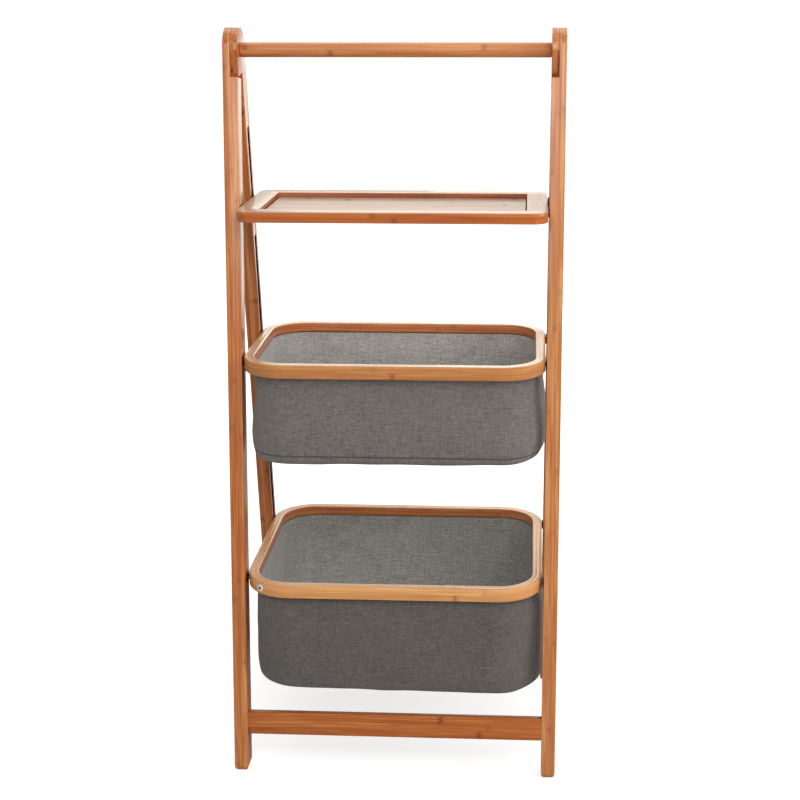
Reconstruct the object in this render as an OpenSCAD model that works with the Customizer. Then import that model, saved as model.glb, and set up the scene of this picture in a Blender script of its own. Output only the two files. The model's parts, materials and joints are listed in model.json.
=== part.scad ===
// Folding bamboo A-frame rack: two leg pairs hinged on a top rail, one framed shelf
// and two fabric baskets hung in bent hoops. The shelf and baskets turn on the front
// legs, and their rear pins slide in slots of the rear legs.
// X runs across the rack, -Y is the front, +Z is up. The origin is on the floor,
// midway between the feet, straight below the top rail.

/* [Frame] */
// Width over the outer faces of the legs
overall_w = 446; // [380:1:560]
// Height of the rail axis, on which the legs hinge
hinge_z = 971.5; // [900:0.5:1200]
// Angle between the front and rear legs when the rack stands open
open_angle = 16; // [14:0.5:17]
// Thickness of a leg across the rack
leg_t = 19; // [16:0.5:24]
// Depth of a leg from front to back
leg_d = 28; // [24:0.5:34]
// Gap between the front and rear legs when the rack is folded
fold_gap = 1; // [0.4:0.1:3]
// Length of the hinge head below the rail axis
head_drop = 30; // [29:0.5:38]

/* [Rails] */
// Diameter of the round top rail
rail_d = 19; // [15:0.5:25]
// Diameter of the rail tenon on which the rear legs hinge
tenon_d = 12; // [9:0.5:14]
// Height of the two bottom crossbars
bar_h = 31.5; // [24:0.5:40]
// Thickness of the two bottom crossbars
bar_t = 12; // [10:0.5:16]
// Height of the crossbar centre line above the floor
bar_z = 71; // [50:1:90]

/* [Shelf] */
// Height of the shelf's top face
shelf_z = 774.5; // [740:0.5:800]
// Thickness of the shelf frame
shelf_t = 14; // [12:0.5:18]
// Reach of the shelf in front of the rail axis
shelf_front = 104.5; // [90:0.5:140]
// Reach of the shelf behind the rail axis
shelf_rear = 104.5; // [90:0.5:140]
// Corner radius of the shelf
shelf_r = 20; // [12:1:40]
// Width of the four frame members
member_w = 28; // [26:0.5:36]
// Depth of the panel's top face below the frame's top face
panel_drop = 6.5; // [3:0.5:7]
// Thickness of the shelf panel
panel_t = 5; // [3:0.5:6]

/* [Baskets] */
// Height of the upper basket's rim
upper_z = 578.5; // [540:0.5:600]
// Reach of the upper basket in front of the rail axis
upper_front = 131.5; // [110:0.5:155]
// Reach of the upper basket behind the rail axis
upper_rear = 131.5; // [110:0.5:155]
// Depth of the upper basket from rim to base
upper_depth = 137; // [90:1:150]
// Corner radius of the upper basket's hoops
upper_r = 60; // [40:1:70]
// Height of the lower basket's rim
lower_z = 281.5; // [260:0.5:300]
// Reach of the lower basket in front of the rail axis
lower_front = 163.5; // [130:0.5:165]
// Reach of the lower basket behind the rail axis
lower_rear = 163.5; // [130:0.5:165]
// Depth of the lower basket from rim to base
lower_depth = 161; // [100:1:165]
// Corner radius of the lower basket's hoops
lower_r = 62; // [40:1:70]
// Height of the outer hoop
hoop_h = 18.5; // [17:0.5:24]
// Thickness of the outer hoop
hoop_t = 7; // [6:0.5:9]
// Height of the inner hoop, which clamps the fabric
inner_hoop_h = 13; // [9:0.5:16]
// Thickness of the inner hoop
inner_hoop_t = 5.5; // [4:0.5:8]
// Room between the hoops for the fabric
fabric_room = 1; // [0.9:0.1:2]
// Inset of the fabric's lower part from the hoop's outer face
bag_inset = 12; // [10:0.5:16]
// Radius with which the fabric turns into the base
base_turn = 20; // [10:1:24]

/* [Pivots] */
// Gap between each leg's inner face and a tier
side_gap = 2; // [1.6:0.1:4]
// Diameter of the pivot bolts and slide pins
pin_d = 6; // [5:0.5:8]
// Diameter of a bolt head
bolt_head_d = 12; // [10:0.5:14]
// Thickness of a bolt head
bolt_head_t = 3; // [2:0.5:4]
// Depth to which bolts reach into a tier
bolt_reach = 6; // [4:0.5:6.5]
// Width of the slots in the rear legs
slot_w = 12; // [9:0.5:14]
// Depth of the slots in the rear legs
slot_depth = 10; // [7:0.5:13]
// Free length above the folded pin in the shelf's slot
shelf_slot_spare = 15; // [4:1:24]
// Free length above the folded pin in a basket's slot
basket_slot_spare = 5; // [4:1:24]

/* [Fits] */
// Radial clearance of a turning or sliding fit
run_clear = 0.08; // [0.03:0.01:0.1]
// Clearance between faces that slide past each other
face_clear = 0.3; // [0.2:0.05:0.5]

/* [Hidden] */
$fn = 64;

// Legs
lean = open_angle / 2;
head_r = leg_d + fold_gap / 2;
axis_offset = head_r - leg_d / 2;
ledge_drop = head_r * sin(open_angle) + head_drop * cos(open_angle) + face_clear / 2;
leg_len = hinge_z / cos(lean) + leg_d;
inner_x = overall_w / 2 - leg_t;
lap_x = overall_w / 2 - leg_t / 2;
tier_w = 2 * (inner_x - side_gap);

// Places along a leg
bar_drop = (hinge_z + head_r * sin(lean) - bar_z) / cos(lean);
shelf_pin_z = shelf_z - shelf_t / 2;
upper_pin_z = upper_z - hoop_h / 2;
lower_pin_z = lower_z - hoop_h / 2;
function pin_drop(z) = (hinge_z + axis_offset * sin(lean) - z) / cos(lean);
function pin_y(z) = axis_offset * cos(lean) + pin_drop(z) * sin(lean);
// Way that a rear pin slides up its slot until the legs lie together
function slide_travel(z) = sqrt(pow(2 * pin_y(z), 2) - pow(2 * axis_offset, 2));
// Half width of a round-cornered tier at distance y from the middle
function side_x(y, reach, r) = tier_w / 2 - r + sqrt(r * r - pow(max(0, y - reach + r), 2));

// Fasteners
dowel_d = 6;
dowel_in_leg = 11;
dowel_in_bar = 20;
screw_d = 4;
screw_head_d = 8;
screw_head_t = 2.4;
screw_len = 48;
bar_pin_offset = 8;
rail_screw_len = 32;
rail_end_web = 2;
tenon_x = overall_w / 2 - screw_head_t - rail_end_web;
bore_spare = 0.5;
spacer_d = 14;
flange_t = 1.2;
groove_depth = 5;
shelf_dowel_in_cross = 9;
hoop_screw_d = 10;
hoop_screw_head_t = 1.6;
hoop_screw_socket = 4;
hoop_screw_turn = 41;
bag_wall = 1.3;
bag_band_wall = 0.7;
bag_top_drop = 0.5;

wood = [0.80, 0.56, 0.39];
wood_dark = [0.72, 0.42, 0.24];
fabric = [0.42, 0.40, 0.39];
steel = [0.75, 0.75, 0.77];
black = [0.10, 0.09, 0.09];

// ---- helpers -----------------------------------------------------------------

// Draws its child on the right side and mirrored on the left side
module both_sides() {
    for (side = [0, 1]) mirror([side, 0, 0]) children();
}

// Turns a (Y, Z) drawing into a slab from x0 to x1
module slab(x0, x1) {
    translate([x0, 0, 0]) rotate([90, 0, 90]) linear_extrude(x1 - x0) children();
}

// A rod along X from x0 to x1
module rod(d, x0, x1) {
    translate([x0, 0, 0]) rotate([0, 90, 0]) cylinder(d = d, h = x1 - x0);
}

// Frame of a leg pair: hinge axis at the origin, legs hanging straight down.
// way is -1 for the front pair and 1 for the rear pair.
module on_legs(way) {
    translate([0, 0, hinge_z]) rotate([way * lean, 0, 0]) children();
}

// Side view of a straight leg from height top down past the floor
module leg_side(way, top) {
    y0 = way < 0 ? -head_r : head_r - leg_d;
    translate([y0, -leg_len]) square([leg_d, leg_len + top]);
}

// Side view of a hinge head: a round over the rail axis with a block below it
module head_side() {
    circle(r = head_r, $fn = 96);
    translate([-head_r, -head_drop]) square([2 * head_r, head_drop]);
}

// Right-hand leg blank, with its lapped head on the outer or the inner half
module leg_blank(way) {
    lap_in = way < 0 ? lap_x + face_clear / 2 : inner_x;
    lap_out = way < 0 ? overall_w / 2 : lap_x - face_clear / 2;
    intersection() {
        on_legs(way) union() {
            slab(inner_x, overall_w / 2) leg_side(way, -ledge_drop);
            slab(lap_in, lap_out) union() {
                leg_side(way, 0);
                head_side();
            }
        }
        translate([0, -hinge_z, 0]) cube([overall_w, 2 * hinge_z, 2 * hinge_z]);
    }
}

// Axis of a tier's pin on a leg pair
module at_pin(way, z) {
    translate([0, way * pin_y(z), z]) children();
}

// Bores for a bolt that enters from the leg's outer face
module bolt_bore() {
    rod(pin_d, inner_x - 1, overall_w / 2 + 1);
    rod(bolt_head_d, overall_w / 2 - bolt_head_t, overall_w / 2 + 1);
}

// Bore for a screw that enters from the leg's outer face and reaches in to x
module screw_bore(x) {
    rod(screw_d, x - 1, overall_w / 2 + 1);
    rod(screw_head_d, overall_w / 2 - screw_head_t, overall_w / 2 + 1);
}

// Places of the crossbar's dowel (1) and screw (-1) on a leg pair
module at_bar(way, step) {
    on_legs(way)
        translate([0, way * (head_r - bar_t / 2), -bar_drop + step * bar_pin_offset])
            children();
}

// Countersunk-flush screw of length len from the leg's outer face
module screw_shape(len) {
    rod(screw_d, overall_w / 2 - len, overall_w / 2);
    rod(screw_head_d, overall_w / 2 - screw_head_t, overall_w / 2);
}

module front_leg() {
    color(wood) difference() {
        leg_blank(-1);
        translate([0, 0, hinge_z]) {
            rod(tenon_d, inner_x, tenon_x);
            screw_bore(inner_x);
        }
        for (z = [shelf_pin_z, upper_pin_z, lower_pin_z]) at_pin(-1, z) bolt_bore();
        bar_bores(-1);
    }
}

module bar_bores(way) {
    at_bar(way, 1) rod(dowel_d, inner_x - 1, inner_x + dowel_in_leg);
    at_bar(way, -1) screw_bore(inner_x);
}

// Slot in a rear leg's inner face, from the pin's standing place to past its folded one
module slot_cut(z, spare) {
    top = slide_travel(z) + spare;
    at_pin(1, z) rotate([lean, 0, 0]) {
        rod(slot_w, inner_x - 1, inner_x + slot_depth);
        translate([0, 0, top]) rod(slot_w, inner_x - 1, inner_x + slot_depth);
        translate([inner_x - 1, -slot_w / 2, 0]) cube([slot_depth + 1, slot_w, top]);
    }
}

module rear_leg() {
    color(wood) difference() {
        leg_blank(1);
        translate([0, 0, hinge_z]) rod(tenon_d + 2 * run_clear, inner_x - 1, overall_w / 2);
        slot_cut(shelf_pin_z, shelf_slot_spare);
        slot_cut(upper_pin_z, basket_slot_spare);
        slot_cut(lower_pin_z, basket_slot_spare);
        bar_bores(1);
    }
}

module crossbar(way) {
    y0 = way < 0 ? -head_r : head_r - bar_t;
    color(wood_dark) difference() {
        on_legs(way) translate([-inner_x, y0, -bar_drop - bar_h / 2])
            cube([2 * inner_x, bar_t, bar_h]);
        both_sides() {
            at_bar(way, 1) rod(dowel_d, inner_x - dowel_in_bar, inner_x + 1);
            at_bar(way, -1) rod(screw_d, overall_w / 2 - screw_len, inner_x + 1);
        }
    }
}

module crossbar_dowels(way) {
    color(wood) both_sides() at_bar(way, 1)
        rod(dowel_d, inner_x - dowel_in_bar, inner_x + dowel_in_leg);
}

module crossbar_screws(way) {
    color(steel) both_sides() at_bar(way, -1) screw_shape(screw_len);
}

// Bolts through the front legs into a tier, whose sides stand at x_side there
module pivot_bolts(z, x_side) {
    color(steel) both_sides() at_pin(-1, z) {
        rod(pin_d, x_side - bolt_reach, overall_w / 2 - bolt_head_t / 2);
        rod(bolt_head_d, overall_w / 2 - bolt_head_t, overall_w / 2);
    }
}

// Washer on a pivot bolt, against the front leg's inner face
module spacers(z) {
    color(black) both_sides() at_pin(-1, z) difference() {
        rod(spacer_d, inner_x - side_gap + face_clear, inner_x);
        rod(pin_d, inner_x - side_gap, inner_x + 1);
    }
}

// Pin that slides in a rear leg's slot; it stops just short of the tier's side
module slide_pins(z) {
    color(steel) both_sides() at_pin(1, z)
        rod(pin_d, inner_x - side_gap + face_clear, inner_x + slot_depth - face_clear);
}

// Flanged glide on a slide pin
module slide_glides(z) {
    color(black) both_sides() at_pin(1, z) difference() {
        union() {
            rod(slot_w - 2 * run_clear, inner_x - face_clear / 2, inner_x + slot_depth - face_clear);
            rod(spacer_d, inner_x - face_clear - flange_t, inner_x - face_clear / 2);
        }
        rod(pin_d, inner_x - side_gap, inner_x + slot_depth);
    }
}

// Bores in a tier's two sides: the front ones turn on the bolts
module tier_bores(z, front_x, rear_x) {
    both_sides() {
        at_pin(-1, z)
            rod(pin_d + 2 * run_clear, front_x - bolt_reach - bore_spare, tier_w / 2 + 1);
        at_pin(1, z)
            rod(pin_d + 2 * run_clear, rear_x - bolt_reach - bore_spare, tier_w / 2 + 1);
    }
}

// Plan of a tier with rounded corners, drawn inset from its outer edge
module plan(front, rear, r, inset) {
    w = tier_w - 2 * inset;
    d = front + rear - 2 * inset;
    cr = max(r - inset, 1);
    translate([0, (rear - front) / 2]) {
        square([w - 2 * cr, d], center = true);
        square([w, d - 2 * cr], center = true);
        for (sx = [-1, 1], sy = [-1, 1])
            translate([sx * (w / 2 - cr), sy * (d / 2 - cr)]) circle(r = cr);
    }
}

// ---- frame -------------------------------------------------------------------

module front_leg_right() { front_leg(); }
module front_leg_left() { mirror([1, 0, 0]) front_leg(); }
module rear_leg_right() { rear_leg(); }
module rear_leg_left() { mirror([1, 0, 0]) rear_leg(); }

module top_rail() {
    body_x = inner_x - face_clear;
    color(wood) translate([0, 0, hinge_z]) difference() {
        union() {
            rod(rail_d, -body_x, body_x);
            rod(tenon_d, -tenon_x, tenon_x);
        }
        both_sides() rod(screw_d, overall_w / 2 - rail_screw_len, tenon_x + 1);
    }
}

module rail_end_screws() {
    color(steel) both_sides() translate([0, 0, hinge_z]) screw_shape(rail_screw_len);
}

module front_crossbar() { crossbar(-1); }
module front_crossbar_dowels() { crossbar_dowels(-1); }
module front_crossbar_screws() { crossbar_screws(-1); }
module rear_crossbar() { crossbar(1); }
module rear_crossbar_dowels() { crossbar_dowels(1); }
module rear_crossbar_screws() { crossbar_screws(1); }

module shelf_pivot_bolts() { pivot_bolts(shelf_pin_z, tier_w / 2); }
module upper_pivot_bolts() {
    pivot_bolts(upper_pin_z, side_x(pin_y(upper_pin_z), upper_front, upper_r));
}
module lower_pivot_bolts() {
    pivot_bolts(lower_pin_z, side_x(pin_y(lower_pin_z), lower_front, lower_r));
}
module shelf_spacers() { spacers(shelf_pin_z); }
module upper_spacers() { spacers(upper_pin_z); }
module lower_spacers() { spacers(lower_pin_z); }
module shelf_slide_pins() { slide_pins(shelf_pin_z); }
module upper_slide_pins() { slide_pins(upper_pin_z); }
module lower_slide_pins() { slide_pins(lower_pin_z); }
module shelf_slide_glides() { slide_glides(shelf_pin_z); }
module upper_slide_glides() { slide_glides(upper_pin_z); }
module lower_slide_glides() { slide_glides(lower_pin_z); }

// ---- shelf -------------------------------------------------------------------

member_x = tier_w / 2 - member_w;

module shelf_frame_solid() {
    translate([0, 0, shelf_z - shelf_t]) linear_extrude(shelf_t)
        plan(shelf_front, shelf_rear, shelf_r, 0);
}

module shelf_panel_solid() {
    translate([-member_x - groove_depth, member_w - shelf_front - groove_depth,
               shelf_z - panel_drop - panel_t])
        cube([2 * (member_x + groove_depth),
              shelf_front + shelf_rear - 2 * (member_w - groove_depth), panel_t]);
}

// Dowels along Y, two at each corner of the shelf frame, which join the side rails
// to the full-width front and rear rails
module shelf_dowel_set() {
    both_sides() for (part = [0.40, 0.66]) translate([tier_w / 2 - part * member_w, 0, 0]) {
        shelf_dowel(member_w - shelf_front, -1);
        shelf_dowel(shelf_rear - member_w, 1);
    }
}

// A dowel across the joint at y, with its short end towards way
module shelf_dowel(y, way) {
    y0 = way < 0 ? y - shelf_dowel_in_cross : y - dowel_in_bar;
    translate([0, y0, shelf_z - shelf_t / 2]) rotate([-90, 0, 0])
        cylinder(d = dowel_d, h = shelf_dowel_in_cross + dowel_in_bar);
}

module shelf_side_rail() {
    color(wood) difference() {
        intersection() {
            shelf_frame_solid();
            translate([member_x, member_w - shelf_front, 0])
                cube([member_w, shelf_front + shelf_rear - 2 * member_w, hinge_z]);
        }
        shelf_panel_solid();
        shelf_dowel_set();
        tier_bores(shelf_pin_z, tier_w / 2, tier_w / 2);
    }
}

module shelf_cross_rail(y0) {
    color(wood_dark) difference() {
        intersection() {
            shelf_frame_solid();
            translate([-tier_w / 2, y0, 0]) cube([tier_w, member_w, hinge_z]);
        }
        shelf_panel_solid();
        shelf_dowel_set();
    }
}

module shelf_right_rail() { shelf_side_rail(); }
module shelf_left_rail() { mirror([1, 0, 0]) shelf_side_rail(); }
module shelf_front_rail() { shelf_cross_rail(-shelf_front); }
module shelf_rear_rail() { shelf_cross_rail(shelf_rear - member_w); }
module shelf_panel() { color(wood) shelf_panel_solid(); }
module shelf_dowels() { color(wood) shelf_dowel_set(); }

// ---- baskets -----------------------------------------------------------------

fabric_in = hoop_t + fabric_room;

module outer_hoop(z, front, rear, r) {
    color(wood) difference() {
        translate([0, 0, z - hoop_h]) linear_extrude(hoop_h) difference() {
            plan(front, rear, r, 0);
            plan(front, rear, r, hoop_t);
        }
        tier_bores(z - hoop_h / 2,
                   side_x(pin_y(z - hoop_h / 2), front, r),
                   side_x(pin_y(z - hoop_h / 2), rear, r));
    }
}

module inner_hoop(z, front, rear, r) {
    color(wood_dark) translate([0, 0, z - inner_hoop_h]) linear_extrude(inner_hoop_h)
        difference() {
            plan(front, rear, r, fabric_in);
            plan(front, rear, r, fabric_in + inner_hoop_t);
        }
}

// Cross-section of a basket's wall with its turn into the base: the first coordinate
// is the distance out from the hoop's corner centre, the second is the height
module bag_section(z, r, depth) {
    low = z - depth;
    band = r - hoop_t - (fabric_room - bag_band_wall) / 2;
    side = r - bag_inset;
    turn = base_turn - bag_wall;
    polygon(concat(
        [[band, z - bag_top_drop], [band, z - hoop_h]],
        [for (a = [0:15:90]) [side - base_turn + base_turn * cos(a),
                              low + base_turn - base_turn * sin(a)]],
        [for (a = [90:-15:0]) [side - base_turn + turn * cos(a),
                               low + base_turn - turn * sin(a)]],
        [[band - bag_band_wall, z - hoop_h], [band - bag_band_wall, z - bag_top_drop]]));
}

// Fabric basket: clamped between the hoops, hanging to a flat base
module bag(z, front, rear, r, depth) {
    cx = tier_w / 2 - r;
    cy = (front + rear) / 2 - r;
    color(fabric) translate([0, (rear - front) / 2, 0]) union() {
        for (corner = [[1, 1, 0], [-1, 1, 90], [-1, -1, 180], [1, -1, 270]])
            translate([corner[0] * cx, corner[1] * cy, 0]) rotate([0, 0, corner[2]])
                rotate_extrude(angle = 90) bag_section(z, r, depth);
        for (turn = [0, 180]) rotate([0, 0, turn]) {
            translate([cx, cy, 0]) rotate([90, 0, 0]) linear_extrude(2 * cy)
                bag_section(z, r, depth);
            rotate([0, 0, 90]) translate([cy, cx, 0]) rotate([90, 0, 0])
                linear_extrude(2 * cx) bag_section(z, r, depth);
        }
        translate([0, (front - rear) / 2, z - depth]) linear_extrude(bag_wall)
            plan(front, rear, r, bag_inset + base_turn);
    }
}

module upper_outer_hoop() { outer_hoop(upper_z, upper_front, upper_rear, upper_r); }
module upper_inner_hoop() { inner_hoop(upper_z, upper_front, upper_rear, upper_r); }
module upper_bag() { bag(upper_z, upper_front, upper_rear, upper_r, upper_depth); }

// Place of the screw on the lower hoop's front left corner, facing outwards. It keeps
// its distance round the corner from the pivot bolt.
module at_hoop_screw() {
    bolt_y = max(0, pin_y(lower_pin_z) - lower_front + lower_r);
    turn = min(90, asin(bolt_y / lower_r) + hoop_screw_turn);
    translate([-tier_w / 2 + lower_r, -lower_front + lower_r, lower_pin_z])
        rotate([0, 0, 180 + turn]) children();
}

module lower_outer_hoop() {
    color(wood) difference() {
        outer_hoop(lower_z, lower_front, lower_rear, lower_r);
        at_hoop_screw() rod(screw_d, lower_r - hoop_t - 1, lower_r + 1);
    }
}

module lower_inner_hoop() { inner_hoop(lower_z, lower_front, lower_rear, lower_r); }
module lower_bag() { bag(lower_z, lower_front, lower_rear, lower_r, lower_depth); }

module lower_hoop_screw() {
    head_x = lower_r + hoop_screw_head_t;
    color(steel) at_hoop_screw() difference() {
        union() {
            rod(screw_d, lower_r - hoop_t, lower_r + hoop_screw_head_t / 2);
            rod(hoop_screw_d, lower_r, head_x);
        }
        rod(hoop_screw_socket, head_x - 1.2, head_x + 1, $fn = 6);
    }
}

// ---- drawing -----------------------------------------------------------------

front_leg_left();
front_leg_right();
top_rail();
rail_end_screws();
front_crossbar();
front_crossbar_dowels();
front_crossbar_screws();
shelf_pivot_bolts();
upper_pivot_bolts();
lower_pivot_bolts();
shelf_spacers();
upper_spacers();
lower_spacers();
rear_leg_left();
rear_leg_right();
rear_crossbar();
rear_crossbar_dowels();
rear_crossbar_screws();
shelf_left_rail();
shelf_right_rail();
shelf_front_rail();
shelf_rear_rail();
shelf_panel();
shelf_dowels();
upper_outer_hoop();
upper_inner_hoop();
upper_bag();
lower_outer_hoop();
lower_inner_hoop();
lower_bag();
lower_hoop_screw();
shelf_slide_pins();
upper_slide_pins();
lower_slide_pins();
shelf_slide_glides();
upper_slide_glides();
lower_slide_glides();
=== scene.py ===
"""Folding rack of laminated bamboo: two hinged leg pairs, a round top rail, a framed shelf
and two canvas baskets in bent hoops, on a pale studio floor."""

import bmesh
import bpy
import json
import math
from mathutils import Matrix, Vector, noise


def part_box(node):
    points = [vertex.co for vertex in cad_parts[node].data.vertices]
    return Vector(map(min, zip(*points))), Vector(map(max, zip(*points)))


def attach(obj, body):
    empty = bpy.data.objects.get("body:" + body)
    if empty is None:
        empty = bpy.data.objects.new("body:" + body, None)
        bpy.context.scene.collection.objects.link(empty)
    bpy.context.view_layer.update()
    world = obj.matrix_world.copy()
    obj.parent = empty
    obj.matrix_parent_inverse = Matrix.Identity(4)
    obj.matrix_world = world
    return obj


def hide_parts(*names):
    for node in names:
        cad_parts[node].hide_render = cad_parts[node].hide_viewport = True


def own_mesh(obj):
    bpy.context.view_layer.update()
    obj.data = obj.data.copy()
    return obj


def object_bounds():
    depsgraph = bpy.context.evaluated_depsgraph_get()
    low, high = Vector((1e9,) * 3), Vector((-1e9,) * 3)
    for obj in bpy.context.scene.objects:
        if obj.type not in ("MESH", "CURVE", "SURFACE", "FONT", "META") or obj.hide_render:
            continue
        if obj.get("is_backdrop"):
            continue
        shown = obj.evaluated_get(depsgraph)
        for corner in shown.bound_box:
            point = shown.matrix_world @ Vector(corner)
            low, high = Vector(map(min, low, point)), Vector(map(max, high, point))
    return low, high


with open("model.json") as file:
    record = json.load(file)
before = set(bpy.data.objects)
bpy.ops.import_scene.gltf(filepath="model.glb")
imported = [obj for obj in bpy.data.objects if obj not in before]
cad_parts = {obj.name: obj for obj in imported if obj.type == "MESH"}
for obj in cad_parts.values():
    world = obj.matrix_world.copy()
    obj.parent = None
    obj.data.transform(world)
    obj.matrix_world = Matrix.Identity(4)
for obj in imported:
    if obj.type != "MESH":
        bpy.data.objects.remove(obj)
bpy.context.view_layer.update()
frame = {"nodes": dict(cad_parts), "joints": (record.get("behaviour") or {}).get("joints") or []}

# ---- sizes, from the frame ------------------------------------------------------------

joints = {joint["name"]: joint for joint in frame["joints"]}
hinge_z = joints["fold"]["pos_m"][2]
lean = math.asin(-joints["shelf_pins_slide"]["axis"][1])
leg_low, leg_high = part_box("front_leg_right")
leg_in, leg_out = leg_low.x, leg_high.x
leg_mid = (leg_in + leg_out) / 2
head_radius = leg_high.z - hinge_z
leg_depth = 0.028
leg_near, leg_far = head_radius - leg_depth, head_radius
pin_off = head_radius - leg_depth / 2
head_drop = 0.030  # how far a head's flat side runs on below the hinge
lap_gap = 0.00015  # between the two laps of a hinge
# open, each head's flat end rests on the other leg's ledge, this far below the hinge
ledge_drop = head_radius * math.sin(2 * lean) + head_drop * math.cos(2 * lean) + lap_gap
leg_edge, foot_edge = 0.0009, 0.0085
screw_sink = (0.0084, 0.0022)  # diameter and depth of the sinkings for the heads
bolt_sink = (0.0124, 0.0028)
slot_radius = 0.006
slot_depth = 0.010
slot_spare = {"shelf": 0.015, "upper": 0.005, "lower": 0.005}  # above the pin's highest place
tiers = ("shelf", "upper", "lower")
tilt_joint = {"shelf": "shelf_tilt", "upper": "upper_basket_tilt", "lower": "lower_basket_tilt"}
pin_y = {tier: -joints[tilt_joint[tier]]["pos_m"][1] for tier in tiers}
pin_z = {tier: joints[tilt_joint[tier]]["pos_m"][2] for tier in tiers}
slide_way = {tier: joints[tier + "_pins_slide"]["range_m"][1] for tier in tiers}
basket_body = {"upper": "upper_basket", "lower": "lower_basket"}
corner_radius = {"upper": 0.060, "lower": 0.062}
hoop_thick = 0.007
cloth_room = 0.001
inner_hoop_thick = 0.0055
side_name = {-1: "left", 1: "right"}

nearly = 1e-5  # two places closer than this are the same place
overshoot = 0.002  # how far a cutter stands out of what it cuts
off_line = 0.0002  # keeps a board's faces off the lines between its strips

# ---- making shapes --------------------------------------------------------------------


def put_down():
    """Leaves edit mode with nothing selected."""
    if bpy.context.object and bpy.context.object.mode != "OBJECT":
        bpy.ops.object.mode_set(mode="OBJECT")
    bpy.ops.object.select_all(action="DESELECT")


def take(piece):
    """Makes the piece the only one selected, and the active one."""
    put_down()
    piece.select_set(True)
    bpy.context.view_layer.objects.active = piece


def settle(piece):
    """Puts the piece's place, turn and size into its mesh."""
    take(piece)
    bpy.ops.object.transform_apply(location=True, rotation=True, scale=True)
    return piece


def block(name, low, high):
    put_down()
    low, high = Vector(low), Vector(high)
    bpy.ops.mesh.primitive_cube_add(size=1, location=(low + high) / 2)
    piece = bpy.context.object
    piece.name = name
    piece.scale = high - low
    return settle(piece)


def dowel(name, diameter, x0, x1, y, z, sides=48):
    """A round bar along X."""
    put_down()
    bpy.ops.mesh.primitive_cylinder_add(vertices=sides, radius=diameter / 2, depth=x1 - x0,
                                        location=((x0 + x1) / 2, y, z),
                                        rotation=(0, math.pi / 2, 0))
    piece = bpy.context.object
    piece.name = name
    return settle(piece)


def edit(piece, kind, chosen):
    """Opens the piece in edit mode with the faces or edges that chosen(...) says."""
    take(piece)
    bpy.ops.object.mode_set(mode="EDIT")
    bpy.ops.mesh.select_mode(type=kind)
    bpy.ops.mesh.select_all(action="DESELECT")
    shape = bmesh.from_edit_mesh(piece.data)
    for part in shape.faces if kind == "FACE" else shape.edges:
        if chosen(part):
            part.select_set(True)
    shape.select_flush_mode()
    bmesh.update_edit_mesh(piece.data)


def edge_ends(edge):
    return edge.verts[0].co, edge.verts[1].co


def runs_along(edge, axis):
    a, b = edge_ends(edge)
    way = b - a
    return abs(way[axis]) > 0.999 * way.length


def finish_with(piece, kind, **values):
    """Adds a modifier, sets it and applies it."""
    take(piece)
    modifier = piece.modifiers.new(kind.title(), kind)
    for key, value in values.items():
        setattr(modifier, key, value)
    bpy.ops.object.modifier_apply(modifier=modifier.name)


def cut_out(piece, cutter):
    finish_with(piece, "BOOLEAN", operation="DIFFERENCE", object=cutter, solver="EXACT")
    bpy.data.objects.remove(cutter)


def ease_edges(piece, width, steps=3, angle=30):
    """Rounds the sharp edges, as sanding does."""
    finish_with(piece, "BEVEL", width=width, segments=steps, limit_method="ANGLE",
                angle_limit=math.radians(angle), use_clamp_overlap=True)


def smooth(piece, angle=35):
    take(piece)
    bpy.ops.object.shade_smooth_by_angle(angle=math.radians(angle))
    return piece


def face_outwards(piece):
    edit(piece, "FACE", lambda face: True)
    bpy.ops.mesh.remove_doubles(threshold=1e-6)
    bpy.ops.mesh.normals_make_consistent(inside=False)
    put_down()
    return piece


def twin(piece, name):
    """The other side's piece: a copy with its own mesh, mirrored across the middle."""
    put_down()
    copy = piece.copy()
    copy.data = piece.data.copy()
    copy.name = name
    bpy.context.scene.collection.objects.link(copy)
    copy.scale = (-1, 1, 1)
    settle(copy)
    return face_outwards(copy)


def lay_grain(piece, place):
    """Stores where each corner of the piece lies in its board: across, through and along.

    The numbers that place(...) adds choose the stretch of bamboo that the piece is cut from."""
    mesh = piece.data
    grain = mesh.attributes.new("grain", "FLOAT_VECTOR", "CORNER")
    for face in mesh.polygons:
        for corner in face.loop_indices:
            point = mesh.vertices[mesh.loops[corner].vertex_index].co
            grain.data[corner].vector = place(point, face.center)


def finish(piece, *materials):
    """Gives the piece its finishes, in the order of its faces' numbers."""
    for material in materials:
        piece.data.materials.append(material)
    return piece


def painted_highlight_top(piece):
    """Gives the level top of a piece its second finish, a paler copy of its wood that paints on the
    highlight the level top catches from the light.
    """
    for face in piece.data.polygons:
        if face.normal.z > 0.8:
            face.material_index = 1
    return piece


def hand_over(piece, body, slot, *nodes):
    """Puts the piece under its body and hides the CAD nodes that it stands for."""
    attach(piece, body)
    if nodes:
        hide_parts(*nodes)


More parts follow.
